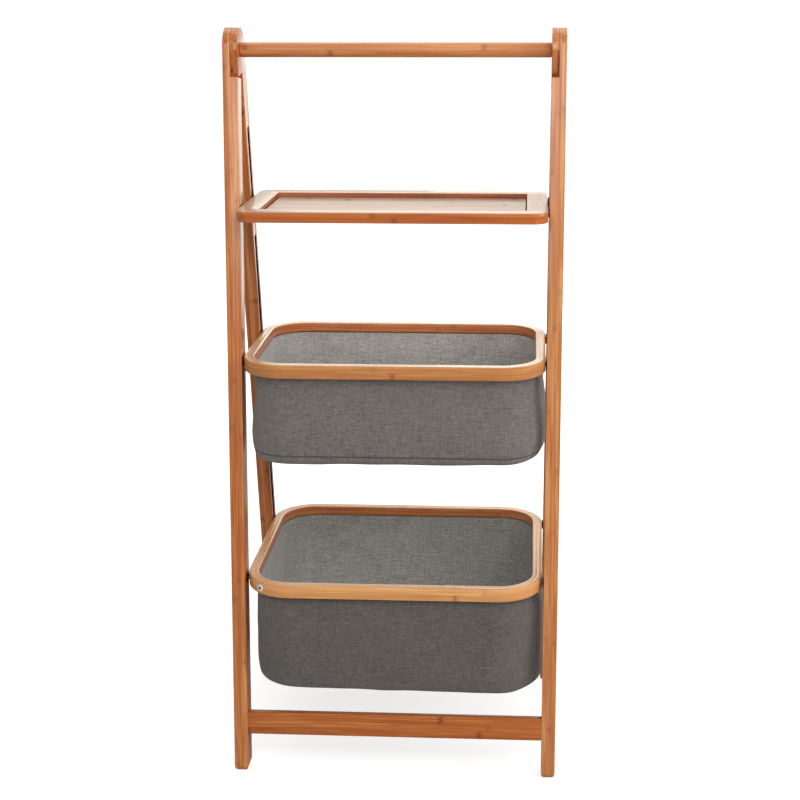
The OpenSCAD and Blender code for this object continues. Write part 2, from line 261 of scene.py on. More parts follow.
class Loop:
    """A rounded rectangle round a tier, and how far along it a point lies."""

    def __init__(self, low, high, radius):
        self.low, self.high, self.radius = Vector(low[:2]), Vector(high[:2]), radius
        size = self.high - self.low
        self.sides = (size.x - 2 * radius, size.y - 2 * radius)
        self.arc = radius * math.pi / 2
        self.length = 2 * sum(self.sides) + 4 * self.arc

    def along(self, point):
        """Distance round from the middle of the rear side, anticlockwise from above."""
        r = self.radius
        x = point.x - self.low.x - r
        y = point.y - self.low.y - r
        wide, deep = self.sides
        if y <= 0 and 0 <= x <= wide:
            s = x
        elif x > wide and y < 0:
            s = wide + r * math.atan2(x - wide, -y)
        elif x > wide and y <= deep:
            s = wide + self.arc + y
        elif x > wide:
            s = wide + self.arc + deep + r * math.atan2(y - deep, x - wide)
        elif y > deep and x >= 0:
            s = 2 * self.arc + wide + deep + (wide - x)
        elif y > deep:
            s = 2 * (self.arc + wide) + deep + r * math.atan2(-x, y - deep)
        elif y >= 0:
            s = 3 * self.arc + 2 * wide + deep + (deep - y)
        else:
            s = 3 * self.arc + 2 * (wide + deep) + r * math.atan2(-y, -x)
        return (s - 2 * self.arc - 1.5 * wide - deep) % self.length

    def inward(self, point):
        """How far in from the outline a point lies."""
        centre = (self.low + self.high) / 2
        past_x = abs(point.x - centre.x) - self.sides[0] / 2
        past_y = abs(point.y - centre.y) - self.sides[1] / 2
        if past_x > 0 and past_y > 0:
            return self.radius - math.hypot(past_x, past_y)
        return min(point.x - self.low.x, self.high.x - point.x,
                   point.y - self.low.y, self.high.y - point.y)

    def near(self, point, middle):
        """The same, kept next to the middle of the point's face where the loop closes."""
        s, home = self.along(point), self.along(middle)
        if s - home > self.length / 2:
            return s - self.length
        if home - s > self.length / 2:
            return s + self.length
        return s


# ---- finishes -------------------------------------------------------------------------


class Nodes:
    """Short words for wiring a node tree."""

    def __init__(self, tree):
        self.tree = tree

    def add(self, kind, **values):
        node = self.tree.nodes.new(kind)
        for key, value in values.items():
            setattr(node, key, value)
        return node

    def wire(self, socket, value):
        if isinstance(value, bpy.types.NodeSocket):
            self.tree.links.new(value, socket)
        elif value is not None:
            socket.default_value = value

    def maths(self, operation, a, b=None, c=None, clamp=False):
        node = self.add("ShaderNodeMath", operation=operation, use_clamp=clamp)
        for socket, value in zip(node.inputs, (a, b, c)):
            self.wire(socket, value)
        return node.outputs[0]

    def mix(self, factor, a, b, blend="MIX"):
        node = self.add("ShaderNodeMix", data_type="RGBA", blend_type=blend)
        self.wire(node.inputs["Factor"], factor)
        self.wire(node.inputs[6], a)
        self.wire(node.inputs[7], b)
        return node.outputs[2]

    def split(self, vector):
        node = self.add("ShaderNodeSeparateXYZ")
        self.wire(node.inputs[0], vector)
        return node.outputs

    def join(self, x, y, z):
        node = self.add("ShaderNodeCombineXYZ")
        for socket, value in zip(node.inputs, (x, y, z)):
            self.wire(socket, value)
        return node.outputs[0]

    def cloud(self, vector, scale=1.0, detail=2.0, rough=0.5):
        node = self.add("ShaderNodeTexNoise", noise_dimensions="3D")
        self.wire(node.inputs["Vector"], vector)
        node.inputs["Scale"].default_value = scale
        node.inputs["Detail"].default_value = detail
        node.inputs["Roughness"].default_value = rough
        return node.outputs["Fac"]

    def streaky(self, *ways, detail=2.0, rough=0.5):
        """Noise drawn out along some ways: each is a value and its scale, or a plain number."""
        scaled = [self.maths("MULTIPLY", *way) if isinstance(way, tuple) else way for way in ways]
        return self.cloud(self.join(*scaled), 1.0, detail, rough)

    def total(self, *terms):
        """The sum of values, each times its weight."""
        whole, *others = [self.maths("MULTIPLY", *term) for term in terms]
        for part in others:
            whole = self.maths("ADD", whole, part)
        return whole

    def chance(self, vector):
        node = self.add("ShaderNodeTexWhiteNoise", noise_dimensions="3D")
        self.wire(node.inputs["Vector"], vector)
        return node.outputs["Color"]

    def rise(self, value, low, high, out_low=0.0, out_high=1.0):
        node = self.add("ShaderNodeMapRange", interpolation_type="SMOOTHSTEP", clamp=True)
        for socket, given in zip(node.inputs, (value, low, high, out_low, out_high)):
            self.wire(socket, given)
        return node.outputs[0]


def colour(red, green, blue):
    """A screen colour (0 to 255) as the linear value that a shader takes."""
    def linear(v):
        v /= 255
        return v / 12.92 if v <= 0.04045 else ((v + 0.055) / 1.055) ** 2.4
    return (linear(red), linear(green), linear(blue), 1.0)


def new_group(name, inputs, outputs):
    group = bpy.data.node_groups.new(name, "ShaderNodeTree")
    for title, kind, value in inputs:
        socket = group.interface.new_socket(title, in_out="INPUT", socket_type=kind)
        if value is not None:
            socket.default_value = value
    for title, kind in outputs:
        group.interface.new_socket(title, in_out="OUTPUT", socket_type=kind)
    nodes = Nodes(group)
    return group, nodes, nodes.add("NodeGroupInput").outputs, nodes.add("NodeGroupOutput").inputs


def bamboo_figure():
    """Strips glued side by side, each with its own tone, fibres and growth rings."""
    group, n, given, out = new_group(
        "bamboo figure",
        [("Place", "NodeSocketVector", None),
         ("Strip Width", "NodeSocketFloat", 0.0064),
         ("Strip Depth", "NodeSocketFloat", 0.014),
         ("Ring Spacing", "NodeSocketFloat", 0.24),
         ("Pale", "NodeSocketColor", colour(222, 158, 106)),
         ("Warm", "NodeSocketColor", colour(206, 130, 78)),
         ("Deep", "NodeSocketColor", colour(170, 90, 48)),
         ("Ring", "NodeSocketColor", colour(120, 62, 34))],
        [("Color", "NodeSocketColor"), ("Height", "NodeSocketFloat"),
         ("Roughness", "NodeSocketFloat")])
    across, through, along = n.split(given["Place"])
    across_strips = n.maths("DIVIDE", across, given["Strip Width"])
    through_strips = n.maths("DIVIDE", through, given["Strip Depth"])
    strip = n.join(n.maths("FLOOR", across_strips), n.maths("FLOOR", through_strips), 3.0)
    tone, shift, lengthen = n.split(n.chance(strip))
    glue = n.rise(n.maths("ABSOLUTE", n.maths("SUBTRACT", n.maths("FRACT", across_strips), 0.5)),
                  0.45, 0.5)
    # fibres: long thin streaks, moved along from strip to strip
    far = n.maths("MULTIPLY_ADD", shift, 3.7, along)
    streaks = n.streaky((across, 400), (through, 400), (far, 11), detail=3.0, rough=0.6)
    hairs = n.streaky((across, 1900), (through, 1900), (far, 26), rough=0.6)
    drift = n.streaky((across, 60), (through, 60), (far, 5))
    # growth rings: a short dark patch at one place in each strip's length
    spacing = n.maths("MULTIPLY", given["Ring Spacing"],
                      n.maths("MULTIPLY_ADD", lengthen, 0.5, 0.8))
    wander = n.maths("MULTIPLY", n.maths("SUBTRACT", streaks, 0.5), 0.008)
    turns = n.maths("DIVIDE", n.maths("ADD", far, wander), spacing)
    from_ring = n.maths("MULTIPLY", spacing, n.maths(
        "ABSOLUTE", n.maths("SUBTRACT", n.maths("FRACT", turns), 0.5)))
    patch = n.rise(from_ring, 0.008, 0.001)
    line = n.rise(from_ring, 0.0013, 0.0004)
    strength = n.rise(tone, 0.2, 0.8, 0.25, 1.0)
    ring = n.maths("MULTIPLY", n.total((patch, 0.50), (line, 0.50)), strength)
    # colour
    depth = n.total((tone, 0.44), (n.rise(drift, 0.35, 0.65), 0.25),
                    (n.rise(streaks, 0.35, 0.65), 0.42))
    depth = n.maths("SUBTRACT", depth, 0.06, clamp=True)
    wood = n.mix(n.rise(depth, 0.0, 0.5), given["Pale"], given["Warm"])
    wood = n.mix(n.rise(depth, 0.5, 1.0), wood, given["Deep"])
    wood = n.mix(n.rise(hairs, 0.52, 0.80, 0.0, 0.30), wood, given["Deep"])
    wood = n.mix(n.maths("MULTIPLY", glue, 0.24), wood, given["Deep"])
    wood = n.mix(ring, wood, given["Ring"])
    n.wire(out["Color"], wood)
    n.wire(out["Height"], n.total((streaks, 0.5), (hairs, 0.5), (glue, -0.35), (line, 0.4)))
    n.wire(out["Roughness"], n.rise(n.maths("ADD", hairs, drift), 0.6, 1.4, 0.34, 0.48))
    return group


def plain_weave():
    """Canvas: over-and-under threads of uneven thickness, with slubs along both ways."""
    group, n, given, out = new_group(
        "plain weave",
        [("Place", "NodeSocketVector", None), ("Thread", "NodeSocketFloat", 0.0016),
         ("Light", "NodeSocketColor", colour(142, 138, 132)),
         ("Dark", "NodeSocketColor", colour(84, 80, 78))],
        [("Color", "NodeSocketColor"), ("Height", "NodeSocketFloat"),
         ("Roughness", "NodeSocketFloat")])
    u, v, _ = n.split(given["Place"])
    wave = n.streaky((u, 24), (v, 24), 1.0)
    bend = n.maths("MULTIPLY", n.maths("SUBTRACT", wave, 0.5), 0.004)
    u_threads = n.maths("DIVIDE", n.maths("ADD", u, bend), given["Thread"])
    v_threads = n.maths("DIVIDE", n.maths("ADD", v, bend), given["Thread"])
    u_id, v_id = n.maths("FLOOR", u_threads), n.maths("FLOOR", v_threads)
    u_round = n.maths("SINE", n.maths("MULTIPLY", n.maths("FRACT", u_threads), math.pi))
    v_round = n.maths("SINE", n.maths("MULTIPLY", n.maths("FRACT", v_threads), math.pi))
    over = n.maths("FLOORED_MODULO", n.maths("ADD", u_id, v_id), 2.0)
    under = n.maths("SUBTRACT", 1.0, over)
    # a weft thread lies along u and a warp thread along v; each swells and thins as it runs
    weft = n.streaky((u, 45), (v_id, 7.3), 2.0, rough=0.6)
    warp = n.streaky((u_id, 5.1), (v, 45), 9.0, rough=0.6)
    fluff = n.streaky((u, 1500), (v, 1500), 0.0, rough=0.7)
    thread = n.total((weft, over), (warp, under))
    crown = n.total((v_round, over), (u_round, under))
    ends = n.maths("MULTIPLY", u_round, v_round)
    height = n.maths("MULTIPLY", n.maths("POWER", n.maths("MAXIMUM", n.maths(
        "MULTIPLY", crown, n.maths("MULTIPLY_ADD", ends, 0.4, 0.6)), 0.0), 0.7),
        n.maths("MULTIPLY_ADD", thread, 0.6, 0.7))
    patches = n.streaky((u, 14), (v, 14), 5.0, detail=3.0)
    # slubs: short swollen lengths, more of them along the weft
    along_weft = n.streaky((u, 130), (v, 620), 4.0, detail=1.0)
    along_warp = n.streaky((u, 620), (v, 130), 7.0, detail=1.0)
    slubs = n.total((n.rise(along_weft, 0.30, 0.70), 1.0), (n.rise(along_warp, 0.30, 0.70), 0.6))
    # the thread crowns are painted paler and the hollows between threads darker: painted shade in
    # the weave, over the threads' own uneven tones
    light = n.total((thread, 0.95), (height, 0.42), (patches, 0.25), (fluff, 0.22), (slubs, 0.22))
    light = n.maths("SUBTRACT", light, 0.62, clamp=True)
    n.wire(out["Color"], n.mix(light, given["Dark"], given["Light"]))
    # small creases, most of them level
    crease = n.streaky((u, 45), (v, 210), 6.0)
    n.wire(out["Height"], n.total((height, 1.0), (n.rise(crease, 0.35, 0.65), 1.3), (fluff, 0.2)))
    n.wire(out["Roughness"], n.rise(fluff, 0.2, 0.8, 0.82, 0.95))
    return group


bamboo_group = bamboo_figure()
weave_group = plain_weave()


def new_finish(name):
    material = bpy.data.materials.new(name)
    material.use_nodes = True
    n = Nodes(material.node_tree)
    shader = material.node_tree.nodes["Principled BSDF"]
    return material, n, shader


def add_bump(n, shader, height, strength, distance):
    bump = n.add("ShaderNodeBump")
    bump.inputs["Strength"].default_value = strength
    bump.inputs["Distance"].default_value = distance
    n.wire(bump.inputs["Height"], height)
    n.wire(shader.inputs["Normal"], bump.outputs["Normal"])


def bamboo_finish(name, width, depth, spacing, gloss, gloss_rough, *tones):
    """Satin lacquer over laminated bamboo; the board's own place is in its grain attribute."""
    material, n, shader = new_finish(name)
    place = n.add("ShaderNodeAttribute", attribute_name="grain").outputs["Vector"]
    figure = n.add("ShaderNodeGroup", node_tree=bamboo_group)
    n.wire(figure.inputs["Place"], place)
    figure.inputs["Strip Width"].default_value = width
    figure.inputs["Strip Depth"].default_value = depth
    figure.inputs["Ring Spacing"].default_value = spacing
    for title, tone in zip(("Pale", "Warm", "Deep", "Ring"), tones):
        figure.inputs[title].default_value = colour(*tone)
    n.wire(shader.inputs["Base Color"], figure.outputs["Color"])
    n.wire(shader.inputs["Roughness"], figure.outputs["Roughness"])
    shader.inputs["Coat Weight"].default_value = gloss
    shader.inputs["Coat Roughness"].default_value = gloss_rough
    shader.inputs["Coat IOR"].default_value = 1.5
    shader.inputs["Specular IOR Level"].default_value = 0.15 if gloss else 0.0
    add_bump(n, shader, figure.outputs["Height"], 0.16, 0.0004)
    return material


# each wood's strip width, strip depth, ring spacing, gloss and its roughness, then the tones
# of pale, warm and deep wood and of the growth rings
wood_table = {
    # the left legs take a darker copy of the right legs' bamboo: painted shade, as the light falls
    # from the right
    "left leg bamboo": (0.00634, 0.014, 0.25, 0.6, 0.2,
                        (216, 145, 83), (185, 105, 50), (128, 58, 22), (77, 35, 15)),
    "right leg bamboo": (0.00634, 0.014, 0.25, 0.6, 0.2,
                         (221, 156, 97), (194, 119, 65), (144, 74, 34), (86, 41, 19)),
    "rail bamboo": (0.0062, 0.0095, 0.30, 0.2, 0.35,
                    (222, 157, 104), (204, 133, 82), (168, 97, 53), (108, 54, 26)),
    "crossbar bamboo": (0.0105, 0.012, 0.30, 0.3, 0.3,
                        (204, 130, 68), (180, 98, 44), (134, 60, 22), (84, 38, 16)),
    "shelf bamboo": (0.0145, 0.007, 0.26, 1.0, 0.12,
                     (212, 130, 62), (194, 102, 38), (152, 70, 22), (104, 44, 16)),
    "upper hoop bamboo": (0.0093, 0.0035, 0.33, 0.8, 0.18,
                          (212, 150, 90), (192, 122, 64), (166, 94, 46), (108, 56, 24)),
    "lower hoop bamboo": (0.0093, 0.0035, 0.33, 0.8, 0.18,
                          (238, 180, 114), (222, 154, 90), (200, 126, 66), (134, 74, 34)),
    # the hoops' level tops take paler copies of the hoop bamboo: a painted highlight of the sheen
    # the tops catch
    "upper hoop top bamboo": (0.03, 0.0045, 0.33, 1.0, 0.1,
                              (238, 208, 168), (226, 188, 144), (204, 158, 112), (150, 104, 64)),
    "lower hoop top bamboo": (0.03, 0.0045, 0.33, 0.7, 0.16,
                              (228, 180, 128), (216, 160, 106), (196, 138, 86), (140, 88, 50)),
    "inner hoop bamboo": (0.0065, 0.0028, 0.33, 0.8, 0.18,
                          (222, 148, 96), (202, 118, 70), (172, 90, 48), (108, 52, 24)),
    # near black and without gloss: painted shade in the legs' slots and in the gap round the shelf
    # panel
    "slot wall": (0.00634, 0.014, 0.25, 0.0, 0.18,
                  (52, 28, 16), (40, 21, 13), (29, 16, 10), (22, 12, 8)),
    # the shelf rim's level top takes a paler, greyer copy of the shelf bamboo: a painted highlight
    # of the sheen on its top
    "shelf top bamboo": (0.0145, 0.007, 0.26, 0.5, 0.14,
                         (202, 180, 157), (190, 164, 139), (168, 139, 112), (134, 100, 72)),
    # the walls round the shelf's recess take a darker copy of the shelf bamboo: painted shade in
    # the recess
    "recess bamboo": (0.0145, 0.007, 0.26, 0.4, 0.3,
                      (168, 98, 56), (144, 74, 38), (106, 48, 24), (72, 34, 18)),
    "panel bamboo": (0.020, 0.0025, 0.30, 0.45, 0.16,
                     (188, 162, 143), (176, 148, 127), (156, 124, 102), (124, 90, 68))}
wood = {name: bamboo_finish(name, *values) for name, values in wood_table.items()}


def plain_wood_finish():
    """Bare dowel wood, hidden in the joints."""
    material, n, shader = new_finish("dowel wood")
    place = n.add("ShaderNodeTexCoord").outputs["Object"]
    x, y, z = n.split(place)
    fibres = n.streaky((x, 60), (y, 900), (z, 900), detail=3.0, rough=0.6)
    n.wire(shader.inputs["Base Color"], n.mix(fibres, colour(226, 190, 146), colour(182, 134, 88)))
    n.wire(shader.inputs["Roughness"], n.rise(fibres, 0.2, 0.8, 0.5, 0.65))
    add_bump(n, shader, fibres, 0.2, 0.0003)
    return material


def small_part_finish(name, dark, light, rough, bump, settings, fine, cloudy=None):
    """Metal or nylon: a fine grain and, where cloudy is given, a larger cloud in its colour."""
    material, n, shader = new_finish(name)
    place = n.add("ShaderNodeTexCoord").outputs["Object"]
    grain = n.cloud(place, *fine)
    shade = n.cloud(place, *cloudy) if cloudy else grain
    n.wire(shader.inputs["Base Color"], n.mix(shade, colour(*dark), colour(*light)))
    n.wire(shader.inputs["Roughness"], n.rise(grain, 0.3, 0.7, *rough))
    for title, value in settings.items():
        shader.inputs[title].default_value = value
    add_bump(n, shader, grain, bump, 0.0002)
    return material


canvas_thread, lining_thread = 0.0016, 0.0028
stitch_length = 0.0036
seam_height = 0.0095


def canvas_finish(name, light, dark, thread, seam=-1.0):
    """Grey canvas; the cloth's own place is in its UV map, in metres. A seam below 0 is none."""
    material, n, shader = new_finish(name)
    place = n.add("ShaderNodeUVMap", uv_map="cloth").outputs["UV"]
    weave = n.add("ShaderNodeGroup", node_tree=weave_group)
    n.wire(weave.inputs["Place"], place)
    weave.inputs["Thread"].default_value = thread
    weave.inputs["Light"].default_value = colour(*light)
    weave.inputs["Dark"].default_value = colour(*dark)
    u, v, _ = n.split(place)
    # a row of stitches at the seam's height
    off_seam = n.maths("ABSOLUTE", n.maths("SUBTRACT", v, seam))
    row = n.rise(off_seam, 0.0005, 0.0003)
    pull = n.rise(off_seam, 0.0017, 0.0005)
    beat = n.maths("FRACT", n.maths("DIVIDE", u, stitch_length))
    stitch = n.maths("MULTIPLY", row, n.rise(n.maths("ABSOLUTE", n.maths("SUBTRACT", beat, 0.5)),
                                             0.36, 0.28))
    cloth = n.mix(n.maths("MULTIPLY", pull, 0.8), weave.outputs["Color"], colour(40, 38, 37))
    cloth = n.mix(n.maths("MULTIPLY", stitch, 0.5), cloth, colour(110, 106, 102))
    n.wire(shader.inputs["Base Color"], cloth)
    n.wire(shader.inputs["Roughness"], weave.outputs["Roughness"])
    shader.inputs["Sheen Weight"].default_value = 0.25
    shader.inputs["Sheen Roughness"].default_value = 0.5
    height = n.total((weave.outputs["Height"], 1.0), (stitch, 1.6), (pull, -1.2))
    add_bump(n, shader, height, 0.55, 0.0005)
    return material


dowel_wood = plain_wood_finish()
steel = small_part_finish("browned steel", (58, 42, 34), (84, 64, 52), (0.20, 0.36), 0.08,
                          {"Metallic": 1.0}, (3500, 3.0, 0.6), (220, 2.0, 0.5))
nylon = small_part_finish("black nylon", (24, 16, 12), (44, 29, 21), (0.5, 0.66), 0.15,
                          {"Specular IOR Level": 0.25}, (2600, 2.0, 0.6))
zinc = small_part_finish("pale zinc", (226, 224, 219), (244, 242, 238), (0.3, 0.42), 0.06,
                         {"Metallic": 0.25}, (900, 3.0, 0.6))
# the lower basket's canvas is a darker copy of the upper's grey: painted shade for the lower tier,
# which hangs further below the lamps
canvas = {"upper": canvas_finish("upper basket canvas", (142, 136, 131), (62, 58, 56),
                                 canvas_thread, seam_height),
          "lower": canvas_finish("lower basket canvas", (120, 114, 109), (48, 45, 43),
                                 canvas_thread)}
lining = {"upper": canvas_finish("upper lining", (218, 215, 209), (124, 121, 117), lining_thread),
          "lower": canvas_finish("lower lining", (206, 204, 199), (112, 110, 106), lining_thread)}

# ---- legs -----------------------------------------------------------------------------


def on_leg(point, way):
    """A point in the leg's own frame: the hinge at the origin, the leg hanging straight."""
    return Matrix.Rotation(-way * lean, 3, "X") @ (point - Vector((0, 0, hinge_z)))


def hang(piece, way):
    """Moves a piece from the leg's own frame to its place on the rack."""
    piece.location = (0, 0, hinge_z)
    piece.rotation_euler = (way * lean, 0, 0)
    settle(piece)


def slot_cutter(tier):
    """A cutter for one groove: a short round bar drawn out along the leg."""
    drop = (hinge_z + pin_off * math.sin(lean) - pin_z[tier]) / math.cos(lean)
    cutter = dowel("cutter", 2 * slot_radius, leg_in - overshoot, leg_in + slot_depth,
                   pin_off, -drop, 40)
    edit(cutter, "FACE", lambda face: False)
    shape = bmesh.from_edit_mesh(cutter.data)
    for vertex in shape.verts:
        if vertex.co.z > -drop + nearly:
            vertex.co.z += slide_way[tier] + slot_spare[tier]
    bmesh.update_edit_mesh(cutter.data)
    put_down()
    return cutter


def lapped_leg(name, way):
    """One right-hand leg: a bar with a half-thick round head that laps the other leg's."""
    lap_low = leg_mid + lap_gap if way < 0 else leg_in
    lap_high = leg_out if way < 0 else leg_mid - lap_gap
    split = lap_low if way < 0 else lap_high
    y_low, y_high = sorted((way * leg_near, way * leg_far))
    leg_length = hinge_z / math.cos(lean) + leg_depth
    leg = block(name, (leg_in, y_low, -leg_length), (leg_out, y_high, -ledge_drop))
    edit(leg, "FACE", lambda face: True)
    bpy.ops.mesh.bisect(plane_co=(split, 0, 0), plane_no=(1, 0, 0))

    def on_lap(face):
        return lap_low < face.calc_center_median().x < lap_high

    for rise_to in (ledge_drop - head_drop, head_drop + head_radius):
        edit(leg, "FACE", lambda face: face.normal.z > 0.9 and on_lap(face) and
             face.calc_center_median().z > -ledge_drop - nearly)
        bpy.ops.mesh.extrude_region_move(TRANSFORM_OT_translate={"value": (0, 0, rise_to)})
    edit(leg, "FACE", lambda face: face.normal.y * way < -0.9 and
         -head_drop < face.calc_center_median().z < head_radius and on_lap(face))
    bpy.ops.mesh.extrude_region_move(
        TRANSFORM_OT_translate={"value": (0, -way * (leg_near + head_radius), 0)})
    bpy.ops.mesh.select_all(action="SELECT")
    bpy.ops.mesh.dissolve_limited(angle_limit=math.radians(1))
    edit(leg, "EDGE", lambda edge: runs_along(edge, 0) and
         all(end.z > head_radius - nearly and abs(end.y) > head_radius - nearly
             for end in edge_ends(edge)))
    # just short of the whole radius, at which the two roundings would meet
    bpy.ops.mesh.bevel(offset=head_radius * 0.998, segments=18, affect="EDGES")
    if way > 0:
        for tier in tiers:
            cut_out(leg, slot_cutter(tier))
    hang(leg, way)
    edit(leg, "FACE", lambda face: True)
    bpy.ops.mesh.bisect(plane_co=(0, 0, 0), plane_no=(0, 0, -1), clear_outer=True, use_fill=True)
    edit(leg, "EDGE", lambda edge: all(end.z < nearly for end in edge_ends(edge)))
    bpy.ops.mesh.bevel(offset=foot_edge, segments=8, affect="EDGES")
    put_down()
    return leg


def recess(leg, diameter, deep, y, z):
    """A round sinking in the leg's outer face for a bolt's or screw's head."""
    cut_out(leg, dowel("cutter", diameter, leg_out - deep, leg_out + overshoot, y, z))


def bar_screw_place(way):
    low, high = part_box("front_crossbar_screws" if way < 0 else "rear_crossbar_screws")
    return (low.y + high.y) / 2, (low.z + high.z) / 2


def leg_grain(side, way, seed):
    def place(point, middle):
        local = on_leg(point, way)
        return Vector((side * local.x - leg_in + off_line, way * local.y, local.z + seed))
    return place


def paint_slot_shade(leg):
    """Gives the walls of the slots the leg's second finish, a near-black bamboo that paints the
    shade down the grooves.
    """
    spare = 0.0004
    for face in leg.data.polygons:
        local = on_leg(face.center, 1)
        deep = leg_in + spare < abs(local.x) < leg_in + slot_depth + spare
        if deep and abs(local.y - pin_off) < slot_radius + spare and local.z < -head_drop:
            face.material_index = 1


for way, end in ((-1, "front"), (1, "rear")):
    right = lapped_leg(end + "_leg_right_wood", way)
    recess(right, *screw_sink, *bar_screw_place(way))
    if way < 0:
        recess(right, *screw_sink, 0, hinge_z)
        for tier in tiers:
            recess(right, *bolt_sink, -pin_y[tier], pin_z[tier])
    ease_edges(right, leg_edge)
    left = twin(right, end + "_leg_left_wood")
    # the left legs' darker bamboo is painted shade on the side away from the light
    for side, leg, seed in ((1, right, 0.31 + way), (-1, left, 0.87 - way)):
        lay_grain(smooth(leg), leg_grain(side, way, seed))
        # the slot walls take the near-black finish: painted shade in the grooves
        finish(leg, wood[side_name[side] + " leg bamboo"], wood["slot wall"])
        if way > 0:
            paint_slot_shade(leg)
        hand_over(leg, end + "_frame", "bamboo_legs", "%s_leg_%s" % (end, side_name[side]))

# ---- rails ----------------------------------------------------------------------------

rail_low, rail_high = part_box("top_rail")
rail_radius = (rail_high.z - rail_low.z) / 2
tenon_radius = 0.006
shoulder = leg_in - 0.0003  # where the rail's full thickness ends, just short of the legs
rail = dowel("top_rail_wood", 2 * rail_radius, -shoulder, shoulder, 0, hinge_z, 64)
edit(rail, "FACE", lambda face: abs(face.normal.x) > 0.9)
bpy.ops.mesh.inset(thickness=rail_radius - tenon_radius, depth=0)
for side in (-1, 1):
    edit(rail, "FACE", lambda face: face.normal.x * side > 0.9 and len(face.verts) > 8)
    bpy.ops.mesh.extrude_region_move(
        TRANSFORM_OT_translate={"value": (side * (rail_high.x - shoulder), 0, 0)})
ease_edges(rail, 0.0005, 2)
lay_grain(smooth(rail), lambda point, middle: Vector(
    (point.y + 0.0124, point.z - hinge_z + rail_radius, point.x + 0.49)))
hand_over(finish(rail, wood["rail bamboo"]), "front_frame", "bamboo_rail", "top_rail")

bar_half_thick, bar_half_tall = 0.006, 0.01575
bar_edge = 0.0009
for way, end, seed in ((-1, "front", 0.93), (1, "rear", 2.21)):
    low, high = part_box(end + "_crossbar")
    centre = on_leg(Vector((0, (low.y + high.y) / 2, (low.z + high.z) / 2)), way)
    half = Vector((leg_in, bar_half_thick, bar_half_tall))
    bar = block(end + "_crossbar_wood", centre - half, centre + half)
    hang(bar, way)
    ease_edges(bar, bar_edge)

    def place(point, middle, way=way, seed=seed, centre=centre):
        local = on_leg(point, way)
        return Vector((local.z - centre.z + bar_half_tall + 0.00025,
                       local.y - centre.y + bar_half_thick + off_line, point.x + seed))

    lay_grain(smooth(bar), place)
    hand_over(finish(bar, wood["crossbar bamboo"]), end + "_frame", "bamboo_crossbars",
              end + "_crossbar")

# ---- shelf ----------------------------------------------------------------------------

shelf_low = Vector([min(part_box("shelf_%s_rail" % end)[0][i] for end in ("front", "left"))
                    for i in range(3)])
shelf_high = Vector([max(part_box("shelf_%s_rail" % end)[1][i] for end in ("rear", "right"))
                     for i in range(3)])
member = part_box("shelf_front_rail")[1].y - shelf_low.y
panel_low, panel_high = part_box("shelf_panel")
shelf_corner, shelf_edge = 0.020, 0.0010
panel_shade_line = 0.0016  # the painted-shade line between the panel and its frame, a dark strip round the panel's edge
inner_spare = 0.0008  # takes in the faces of the frame's eased inner edges, so that they share the painted shade of the recess walls


def shelf_ring(name):
    """The whole frame of the shelf in one, before it is sawn into its members."""
    ring = block(name, shelf_low, shelf_high)
    edit(ring, "EDGE", lambda edge: runs_along(edge, 2))
    bpy.ops.mesh.bevel(offset=shelf_corner, segments=14, affect="EDGES")
    inside = block("cutter",
                   (shelf_low.x + member, shelf_low.y + member, shelf_low.z - overshoot),
                   (shelf_high.x - member, shelf_high.y - member, shelf_high.z + overshoot))
    cut_out(ring, inside)
    ease_edges(ring, shelf_edge)
    return ring


def saw(piece, place, normal):
    """Keeps what lies on the inner side of a plane and closes the cut."""
    edit(piece, "FACE", lambda face: True)
    bpy.ops.mesh.bisect(plane_co=place, plane_no=normal, clear_outer=True, use_fill=True,
                        threshold=1e-6)
    put_down()


joint_room = 0.00002
front_joint = (0, shelf_low.y + member + joint_room, 0)
rear_joint = (0, shelf_high.y - member - joint_room, 0)
saw_cuts = {
    "front": [(front_joint, (0, 1, 0))],
    "rear": [(rear_joint, (0, -1, 0))],
    "left": [(front_joint, (0, -1, 0)), (rear_joint, (0, 1, 0)), ((0, 0, 0), (1, 0, 0))],
    "right": [(front_joint, (0, -1, 0)), (rear_joint, (0, 1, 0)), ((0, 0, 0), (-1, 0, 0))]}
for number, (end, cuts) in enumerate(saw_cuts.items()):
    part = shelf_ring("shelf_%s_rail_wood" % end)
    for cut in cuts:
        saw(part, *cut)
    seed = 0.7 * number + 0.4
    if end in ("front", "rear"):
        edge_y = shelf_low.y if end == "front" else shelf_high.y

        def place(point, middle, edge_y=edge_y, seed=seed):
            return Vector((abs(point.y - edge_y) + off_line, point.z - shelf_low.z + off_line,
                           point.x + seed))
    else:
        def place(point, middle, seed=seed):
            return Vector((shelf_high.x - abs(point.x) + off_line,
                           point.z - shelf_low.z + off_line, point.y + seed))
    lay_grain(smooth(part), place)
    # the level top takes the paler finish as a painted highlight, and the walls round the recess
    # the darker one as painted shade
    for face in painted_highlight_top(part).data.polygons:
        in_recess = (abs(face.center.x) < shelf_high.x - member + inner_spare and
                     abs(face.center.y) < shelf_high.y - member + inner_spare)
        if in_recess and abs(face.normal.z) < 0.3:
            face.material_index = 2
    finish(part, wood["shelf bamboo"], wood["shelf top bamboo"], wood["recess bamboo"])
    hand_over(part, "shelf", "bamboo_shelf_frame", "shelf_%s_rail" % end)

panel = block("shelf_panel_wood", (shelf_low.x + member, shelf_low.y + member, panel_low.z),
              (shelf_high.x - member, shelf_high.y - member, panel_high.z))
edit(panel, "FACE", lambda face: abs(face.normal.z) > 0.9)
bpy.ops.mesh.inset(thickness=panel_shade_line, depth=0)
put_down()
panel_size = panel_high - panel_low
# the strip round the panel's edge and its sides take the near-black finish: painted shade in the
# gap against the frame
for face in panel.data.polygons:
    if face.area < 0.1 * panel_size.x * panel_size.y:  # all but the two broad faces
        face.material_index = 1
lay_grain(panel, lambda point, middle: Vector(
    (point.y + 0.5, point.z - panel_low.z + off_line, point.x + 3.1)))
finish(panel, wood["panel bamboo"], wood["slot wall"])
hand_over(panel, "shelf", "lacquered_panel", "shelf_panel")

# ---- hoops and baskets ----------------------------------------------------------------


